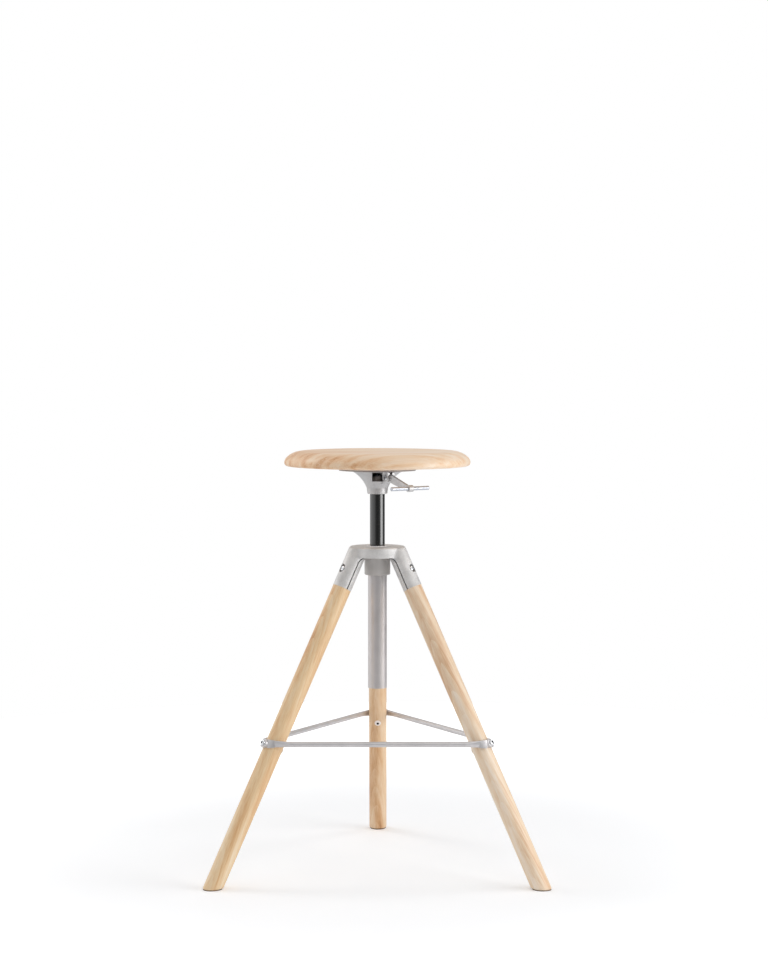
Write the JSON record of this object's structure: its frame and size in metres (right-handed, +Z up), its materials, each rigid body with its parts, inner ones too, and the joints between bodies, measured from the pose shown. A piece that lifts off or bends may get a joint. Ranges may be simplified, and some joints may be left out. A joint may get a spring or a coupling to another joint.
{
  "type": "machinist stool",
  "caption": "Bar-height stool with a turned wooden seat on a gas spring, a cast hub, splayed round wooden legs, a rod footrest and a release lever.",
  "frame": {"origin": "on the floor under the middle of the stool's bounding box", "axes": "+Z up along the column; +Y towards the rear leg; +X to the right of someone facing the two front legs"},
  "size_m": [0.6346, 0.5542, 0.791],
  "materials": {
    "seat_wood": "clear matt lacquer over turned beech",
    "leg_wood": "clear matt lacquer over turned ash",
    "cast_aluminium": "satin, bead blasted",
    "column_paint": "satin grey powder coat",
    "footrest_steel": "satin grey powder coat",
    "cylinder_black": "gloss black paint over ground tube",
    "plate_paint": "matt dark grey paint",
    "screw_steel": "bright zinc",
    "ground_steel": "ground",
    "lever_steel": "satin nickel",
    "bush_plastic": "moulded acetal",
    "glide_plastic": "moulded nylon",
    "rubber": "moulded"
  },
  "bodies": {
    "base": {"hub_casting": "cast_aluminium", "leg_rear": "leg_wood", "leg_glide_rear": "glide_plastic", "leg_clamp_rear": "cast_aluminium", "leg_front_left": "leg_wood", "leg_glide_front_left": "glide_plastic", "leg_clamp_front_left": "cast_aluminium", "leg_front_right": "leg_wood", "leg_glide_front_right": "glide_plastic", "leg_clamp_front_right": "cast_aluminium", "hub_washers": "rubber", "hub_leg_bolts": "screw_steel", "footrest_bolts": "screw_steel", "footrest_sleeve_nuts": "screw_steel", "footrest_rod_front": "footrest_steel", "footrest_rod_right": "footrest_steel", "footrest_rod_left": "footrest_steel", "column_tube": "column_paint", "column_collar": "column_paint", "guide_bush": "bush_plastic", "column_base_plate": "column_paint", "thrust_lower_race": "ground_steel"},
    "bearing": {"bearing_cage": "bush_plastic", "bearing_balls": "ground_steel"},
    "rod": {"piston_rod": "ground_steel", "rod_clip": "screw_steel", "thrust_upper_race": "ground_steel", "bump_stop": "rubber", "piston": "ground_steel", "piston_seal": "rubber"},
    "seat": {"gas_cylinder": "cylinder_black", "cylinder_gland": "ground_steel", "rod_seal": "rubber", "valve_body": "ground_steel", "seat_bracket": "cast_aluminium", "lever_pin": "screw_steel", "lever_pin_clip": "screw_steel", "seat_plate": "plate_paint", "seat": "seat_wood", "bracket_screws": "screw_steel", "seat_screws": "screw_steel"},
    "lever": {"lever_arm": "cast_aluminium", "lever_bar": "lever_steel"},
    "valve": {"valve_pin": "ground_steel"}
  },
  "joints": [
    {"name": "seat_swivel", "type": "hinge", "parent": "base", "child": "rod", "pos_m": [0, -0.08728, 0.3562], "axis": [0, 0, 1], "continuous": true},
    {"name": "bearing_turn", "type": "hinge", "parent": "base", "child": "bearing", "pos_m": [0, -0.08728, 0.3562], "axis": [0, 0, 1], "continuous": true},
    {"name": "seat_lift", "type": "slide", "parent": "rod", "child": "seat", "axis": [0, 0, 1], "range_m": [-0.09, 0.04]},
    {"name": "lever_lift", "type": "hinge", "parent": "seat", "child": "lever", "pos_m": [0.0218, -0.11841, 0.7423], "axis": [-0.8192, -0.5736, 0], "range_deg": [0, 5], "stiffness_Nm_per_rad": 2, "springref_deg": -2.86},
    {"name": "valve_press", "type": "slide", "parent": "seat", "child": "valve", "axis": [0, 0, 1], "range_m": [-0.0034, 0]}
  ],
  "couplings": [
    {"joint": "bearing_turn", "follows": "seat_swivel", "ratio": 0.5},
    {"joint": "valve_press", "follows": "lever_lift", "m_per_rad": -0.038}
  ]
}
